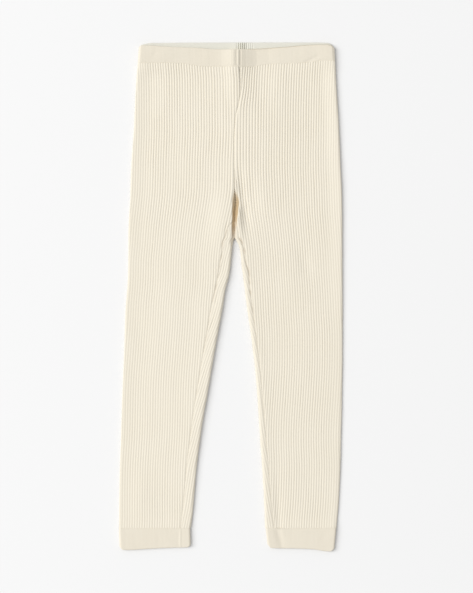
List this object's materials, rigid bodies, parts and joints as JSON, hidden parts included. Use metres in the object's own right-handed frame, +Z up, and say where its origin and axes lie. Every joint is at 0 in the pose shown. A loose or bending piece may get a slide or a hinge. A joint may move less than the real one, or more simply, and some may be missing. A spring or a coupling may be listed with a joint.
{
  "type": "ribbed leggings",
  "caption": "Child's cream rib-knit leggings laid flat, with a fine-knit waistband and cuffs, a centre seam, inseams rolled to the front and an open crotch fold.",
  "frame": {"origin": "on the surface that the leggings lie on, under the middle of their outline", "axes": "+Y from the cuffs to the waist, +X to the right as seen from above with the front up, +Z up from the surface"},
  "size_m": [0.244, 0.5595, 0.0069],
  "materials": {
    "rib_knit": "soft matte rib knit",
    "fine_knit": "soft matte fine plain knit"
  },
  "bodies": {
    "root": {"leg_left": "rib_knit", "leg_right": "rib_knit", "waistband": "fine_knit", "cuff_left": "fine_knit", "cuff_right": "fine_knit"}
  },
  "joints": []
}
